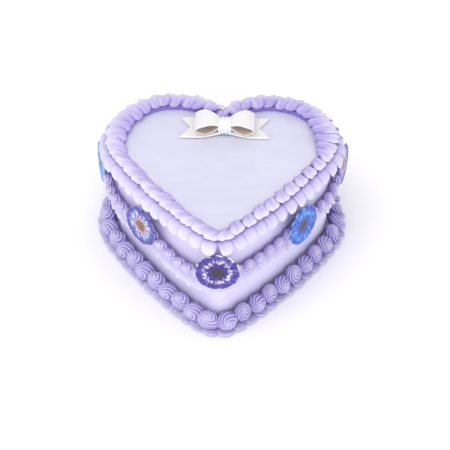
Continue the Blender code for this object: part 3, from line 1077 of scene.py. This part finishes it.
# Each row: slot, look, petals, raggedness, curl, turn of the rim, turn to the front, distance further out.
DISC_LOOKS = (
    ("violet", VIOLET, 11, 0.16, 0.004, 0.0, 0.0, 0.0),
    ("blue", BLUE_PAINTED_LIGHTER, 14, 0.10, 0.010, 0.7, 0.38, 0.0024),
    ("pale", PALE, 10, 0.12, 0.012, 1.4, 0.10, 0.0),
    ("violet", VIOLET, 11, 0.16, 0.006, 2.1, 0.0, 0.0),
    ("blue", BLUE, 14, 0.10, 0.006, 2.8, 0.0, 0.0),
    ("pale", PALE, 10, 0.12, 0.014, 3.5, -0.42, 0.0022),
    ("blue", BLUE, 14, 0.10, 0.004, 4.2, 0.0, 0.0),
)
for number, (along, height, row) in enumerate(zip(DISC_PLACES, DISC_HEIGHTS, DISC_LOOKS), start=1):
    tint, look, petals, ragged, curl, turn, facing, out_more = row
    mesh = disc_mesh("disc", along, height, petals, curl, turn, facing, out_more)
    mesh.materials.append(flower_print(f"print_{number}", petals, ragged, 3.0 * number, **look))
    disc = put_in_scene(f"flower_disc_{number}_printed", mesh)
    finish_piece(disc, f"disc_{tint}", f"flower_disc_{number}")


# Bow of white fondant, rolled thin and cut in strips: a flat strip with notched ends, two hollow loops set
# up on edge to dry, and a band wrapped round the middle. It lies on the icing near the cleft.

BOW_X = 0.0020
BOW_Y = 0.0470
BOW_BASE = CAKE_HEIGHT + 0.0006
RIBBON_DEPTH = 0.0240
TAILS_DEPTH = 0.0275
TAILS_Y = 0.0488
RIBBON_THICKNESS = 0.0017
TAIL_LENGTH = 0.0790
TAIL_NOTCH = 0.0095
TAILS_PINCH = 0.33
LOOP_REACH = 0.0255
LOOP_HEIGHT = 0.0112
LOOP_WAIST = 0.0130
KNOT_WIDTH = 0.0115
KNOT_HEIGHT = 0.0102
RIBBON_CORNER = 0.0006
RIBBON_SPANS = 12
TAIL_STATIONS = 81
LOOP_STEPS = 48
KNOT_STEPS = 40


def ribbon_section(depth):
    """Outline (across, through) of a rolled strip with rounded edges."""
    outline = []
    flat = depth / 2 - RIBBON_CORNER
    face = RIBBON_THICKNESS / 2
    for cx, cy, first in ((1, 1, 0), (-1, 1, 90), (-1, -1, 180), (1, -1, 270)):
        for turn in (0, 30, 60, 90):
            angle = math.radians(first + turn)
            across = cx * flat + RIBBON_CORNER * math.cos(angle)
            through = cy * (face - RIBBON_CORNER) + RIBBON_CORNER * math.sin(angle)
            outline.append((across, through))
        if cx == cy:
            shares = (1 - 2 * step / RIBBON_SPANS for step in range(1, RIBBON_SPANS))
            outline += [(cx * flat * share, cy * face) for share in shares]
    return outline


def fondant():
    finish, tree, shader, place = new_finish(
        "fondant_white", Subsurface_Weight=0.2, Subsurface_Radius=(1.0, 0.8, 0.6), Subsurface_Scale=0.002
    )
    cloud = speckle(tree, place, 60.0)
    pores = speckle(tree, place, 1400.0, 3.0)
    colour = cloud.between(0.3, 0.7).tint((0.785, 0.774, 0.756), (0.815, 0.806, 0.788))
    # Painted shade: the inner faces of the loops are tinted beige where shade falls inside them.
    inside = Wire.node(tree, "ShaderNodeAttribute", {"attribute_name": "inside"}, None, "Fac")
    colour = inside.tint(colour, (0.60, 0.52, 0.44))
    feed(tree, shader, colour, 0.42 + 0.1 * cloud, pores, 0.00015)
    return finish


white_fondant = fondant()


def tails_mesh():
    """Strip that lies on the icing, a little raised where it passes under the knot."""
    rows = []
    section = ribbon_section(TAILS_DEPTH)
    for share in np.linspace(-1, 1, TAIL_STATIONS):
        row = []
        for across, through in section:
            notch = TAIL_NOTCH * (1 - abs(across) / (TAILS_DEPTH / 2))
            x = share * (TAIL_LENGTH / 2 - notch * abs(share) ** 3)
            hump = 0.0011 * math.exp(-((x / 0.016) ** 2)) + 0.0004 * math.sin(90 * x + 1.0)
            if across < 0:
                across *= 1 - TAILS_PINCH * math.exp(-((x / 0.013) ** 2))
            height = BOW_BASE + RIBBON_THICKNESS / 2 + through + max(0.0, hump)
            row.append((BOW_X + x, TAILS_Y + across, height))
        rows.append(row)
    mesh = skin("bow_tails", np.array(rows))
    made = bmesh.new()
    made.from_mesh(mesh)
    made.verts.ensure_lookup_table()
    corners = len(section)
    for first in (0, (len(rows) - 1) * corners):
        end = [made.verts[first + i] for i in range(corners)]
        for i in range(corners // 2 - 1):
            made.faces.new((end[i], end[i + 1], end[-2 - i], end[-1 - i]))
    made.to_mesh(mesh)
    made.free()
    return mesh


def loop_mesh(name, side):
    """Ribbon bent into a loop, pinched at the knot, its open ends facing front and back."""
    near = KNOT_WIDTH / 2 - 0.001
    rows = []
    low = BOW_BASE + RIBBON_THICKNESS + 0.0012
    for i in range(LOOP_STEPS):
        turn = 2 * math.pi * i / LOOP_STEPS
        swell = 0.5 - 0.5 * math.cos(turn)
        full = math.sin(math.pi * min(1.0, 0.12 + 0.72 * swell)) ** 0.6
        centre = Vector((near + (LOOP_REACH - near) * swell, 0.0, low + LOOP_HEIGHT / 2))
        centre.z += (LOOP_HEIGHT / 2 - RIBBON_THICKNESS / 2) * full * math.sin(turn)
        rows.append((centre, LOOP_WAIST + (RIBBON_DEPTH - LOOP_WAIST) * min(1.0, 1.6 * swell)))
    grid = []
    for i in range(LOOP_STEPS):
        travel = (rows[(i + 1) % LOOP_STEPS][0] - rows[i - 1][0]).normalized()
        through_way = Vector((-travel.z, 0.0, travel.x))
        centre, deep = rows[i]
        row = []
        for across, through in ribbon_section(deep):
            spot = centre + through_way * through
            row.append((BOW_X + side * spot.x, BOW_Y + across, spot.z))
        grid.append(row)
    mesh = skin(name, np.array(grid), round_rows=True)
    # Inner faces of the ribbon, where beige shade is painted.
    inside = [float(through < 0) for across, through in ribbon_section(deep)] * LOOP_STEPS
    mesh.attributes.new("inside", "FLOAT", "POINT").data.foreach_set("value", inside)
    return mesh


def knot_mesh():
    """Band round the middle, with soft folds across it."""
    rows = []
    deep = LOOP_WAIST / 2 + RIBBON_THICKNESS
    low = BOW_BASE + RIBBON_THICKNESS + 0.0006
    for i in range(KNOT_STEPS):
        turn = math.pi * i / (KNOT_STEPS - 1)
        row = []
        for share in np.linspace(0, 1, 25):
            across = (share - 0.5) * KNOT_WIDTH
            fold = 1 + 0.035 * math.cos(2 * math.pi * 3 * share) - 0.10 * (2 * abs(share - 0.5)) ** 4
            y = -deep * math.cos(turn) * fold
            z = low + KNOT_HEIGHT * math.sin(turn) ** 0.7 * fold
            row.append((BOW_X + across, BOW_Y + y, z))
        inner = [(p[0], BOW_Y + (p[1] - BOW_Y) * 0.80, low + (p[2] - low) * 0.80) for p in reversed(row)]
        rows.append(row + inner)
    grid = np.array(rows)
    return skin("bow_knot", grid, grid[0].mean(0), grid[-1].mean(0))


bow = (
    ("bow_tails_rolled", tails_mesh(), "bow_tails"),
    ("bow_loop_left_folded", loop_mesh("bow_loop_left", -1), "bow_loop_left"),
    ("bow_loop_right_folded", loop_mesh("bow_loop_right", 1), "bow_loop_right"),
    ("bow_knot_wrapped", knot_mesh(), "bow_knot"),
)
for name, mesh, node in bow:
    face_outwards(mesh)
    piece = put_in_scene(name, mesh)
    mesh.materials.append(white_fondant)
    finish_piece(piece, "fondant", node)


# The studio: a plain pale floor and a bright soft sky. One large lamp stands above the front left, and a
# lower one fills in from the front.

floor_mesh = bpy.data.meshes.new("floor")
floor_mesh.from_pydata([(-6, -6, 0), (6, -6, 0), (6, 6, 0), (-6, 6, 0)], [], [(0, 1, 2, 3)])
floor = put_in_scene("floor", floor_mesh)
floor_finish, floor_tree, floor_shader, floor_place = new_finish("floor_white")
floor_cloud = speckle(floor_tree, floor_place, 3.0)
floor_colour = floor_cloud.tint((0.95, 0.95, 0.95), (0.97, 0.97, 0.97))
feed(floor_tree, floor_shader, floor_colour, 0.7 + 0.1 * floor_cloud, floor_cloud, 0.0001)
floor_mesh.materials.append(floor_finish)

world = bpy.data.worlds.new("studio")
world.use_nodes = True
world.node_tree.nodes["Background"].inputs["Color"].default_value = (0.96, 0.948, 0.99, 1.0)
world.node_tree.nodes["Background"].inputs["Strength"].default_value = 0.96
bpy.context.scene.world = world


def lamp(name, place, target, size, power):
    light = bpy.data.lights.new(name, "AREA")
    light.shape = "DISK"
    light.size = size
    light.energy = power
    made = bpy.data.objects.new(name, light)
    bpy.context.scene.collection.objects.link(made)
    made.location = place
    made.rotation_euler = (Vector(target) - Vector(place)).to_track_quat("-Z", "Y").to_euler()


LAMPS_AIM = (0.0, 0.0, 0.05)
lamp("softbox", (-0.6, -0.7, 1.8), LAMPS_AIM, size=1.4, power=9.0)
lamp("fill", (0.35, -1.7, 0.75), LAMPS_AIM, size=1.2, power=9.0)

camera_data = bpy.data.cameras.new("camera")
camera_data.lens = 102.1
camera_data.sensor_width = 36.0
camera_data.clip_end = 20.0
camera = bpy.data.objects.new("camera", camera_data)
bpy.context.scene.collection.objects.link(camera)
camera.location = (0.0248, -0.8162, 0.8177)
camera.rotation_euler = (Vector((0.0026, 0.0315, 0.0)) - camera.location).to_track_quat("-Z", "Y").to_euler()
bpy.context.scene.camera = camera
bpy.context.scene.view_settings.view_transform = "Standard"
